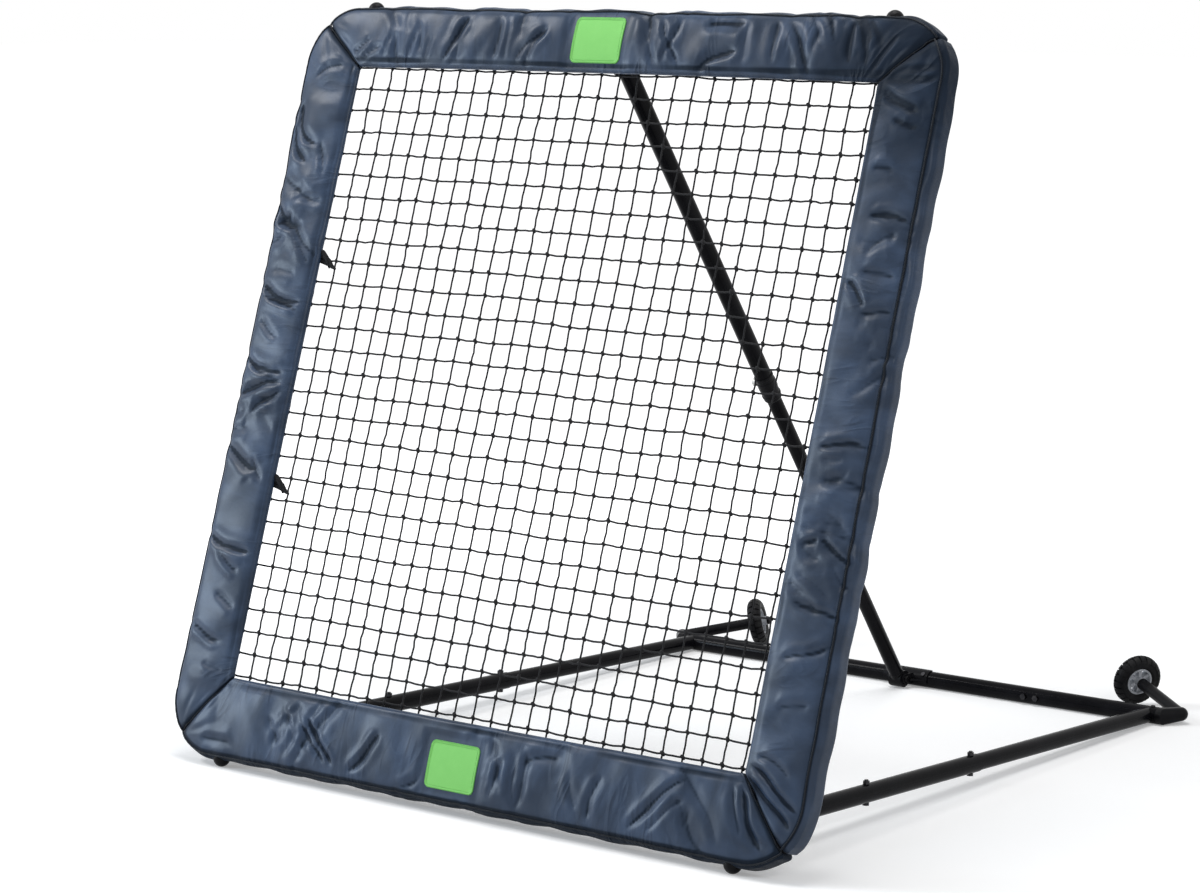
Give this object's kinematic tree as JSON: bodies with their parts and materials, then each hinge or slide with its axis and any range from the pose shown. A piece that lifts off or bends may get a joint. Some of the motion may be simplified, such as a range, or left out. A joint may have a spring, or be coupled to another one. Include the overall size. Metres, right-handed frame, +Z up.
{
  "type": "pitch back rebounder",
  "caption": "Free-standing ball rebounder: a square-mesh net laced inside a padded tube frame that leans on a wheeled floor base, set to its angle by a telescopic rear strut.",
  "frame": {"origin": "on the floor, under the middle of the whole part's box", "axes": "+Z up, +X to the right seen from the front, +Y to the back, away from the thrower"},
  "size_m": [1.653, 1.783, 1.5852],
  "materials": {
    "black_tube": "gloss powder coat",
    "black_bracket": "satin powder coat",
    "zinc": "zinc plated",
    "black_plastic": "moulded matte",
    "grey_plastic": "moulded",
    "tyre": "matte",
    "twine": "knotted twine",
    "rope": "braided",
    "elastic": "braided elastic",
    "navy_fabric": "coated, slightly glossy",
    "piping": "coated",
    "foam": "closed-cell foam",
    "green_fabric": "woven"
  },
  "bodies": {
    "panel": {"side_tube_left": "black_tube", "side_tube_right": "black_tube", "top_tube": "black_tube", "bottom_tube": "black_tube", "corner_bolts": "zinc", "foot_left": "black_plastic", "foot_right": "black_plastic", "corner_caps": "black_plastic", "hinge_bracket_left": "black_bracket", "hinge_bracket_right": "black_bracket", "strut_bracket": "black_bracket", "lacing_pegs": "black_bracket", "net": "twine", "net_rope": "rope", "net_lacing": "elastic", "cover_top": "navy_fabric", "cover_bottom": "navy_fabric", "cover_left": "navy_fabric", "cover_right": "navy_fabric", "foam_top": "foam", "foam_bottom": "foam", "foam_left": "foam", "foam_right": "foam", "piping": "piping", "pad_ties": "navy_fabric", "patch_top": "green_fabric", "patch_bottom": "green_fabric"},
    "base": {"rail_front_left": "black_tube", "rail_front_right": "black_tube", "rail_rear_left": "black_tube", "rail_rear_right": "black_tube", "rail_plugs": "black_plastic", "rail_bolts": "zinc", "hinge_bolts": "zinc", "crossbar_middle": "black_tube", "crossbar_left": "black_tube", "crossbar_right": "black_tube", "crossbar_sleeves": "black_tube", "crossbar_bolts": "zinc", "wheel_arm_left": "black_plastic", "wheel_arm_right": "black_plastic", "arm_screws": "zinc", "axle_left": "zinc", "axle_right": "zinc", "axle_caps": "black_plastic", "strut_saddle": "black_bracket", "strut_foot_bolt": "zinc", "saddle_screws": "zinc"},
    "strut_upper": {"strut_upper_tube": "black_tube", "strut_top_bolt": "zinc", "strut_collar": "black_plastic"},
    "strut_lock": {"strut_lock_screw": "zinc"},
    "strut_lower": {"strut_lower_tube": "black_tube", "strut_glide": "black_plastic", "strut_end_cap": "black_plastic"},
    "wheel_left": {"tyre_left": "tyre", "hub_left": "grey_plastic"},
    "wheel_right": {"tyre_right": "tyre", "hub_right": "grey_plastic"}
  },
  "joints": [
    {"name": "frame_tilt", "type": "hinge", "parent": "base", "child": "panel", "pos_m": [0, -0.80091, 0.06665], "axis": [1, 0, 0], "range_deg": [-6, 6]},
    {"name": "strut_pivot", "type": "hinge", "parent": "panel", "child": "strut_upper", "pos_m": [0, -0.35112, 1.45921], "axis": [1, 0, 0], "range_deg": [-3.1, 3.1]},
    {"name": "strut_slide", "type": "slide", "parent": "strut_upper", "child": "strut_lower", "axis": [0, 0.5781, -0.816], "range_m": [-0.124, 0.124]},
    {"name": "lock_screw_turn", "type": "hinge", "parent": "strut_upper", "child": "strut_lock", "pos_m": [0, 0.14082, 0.76481], "axis": [-1, 0, 0], "range_deg": [0, 270]},
    {"name": "wheel_left_spin", "type": "hinge", "parent": "base", "child": "wheel_left", "pos_m": [-0.532, 0.83814, 0.0623], "axis": [0.8582, 0.4679, 0.2113], "continuous": true},
    {"name": "wheel_right_spin", "type": "hinge", "parent": "base", "child": "wheel_right", "pos_m": [0.532, 0.83814, 0.0623], "axis": [-0.8582, 0.4679, 0.2113], "continuous": true}
  ],
  "couplings": [
    {"joint": "strut_pivot", "follows": "frame_tilt", "ratio": -0.50212},
    {"joint": "strut_slide", "follows": "frame_tilt", "m_per_rad": 1.1715}
  ]
}
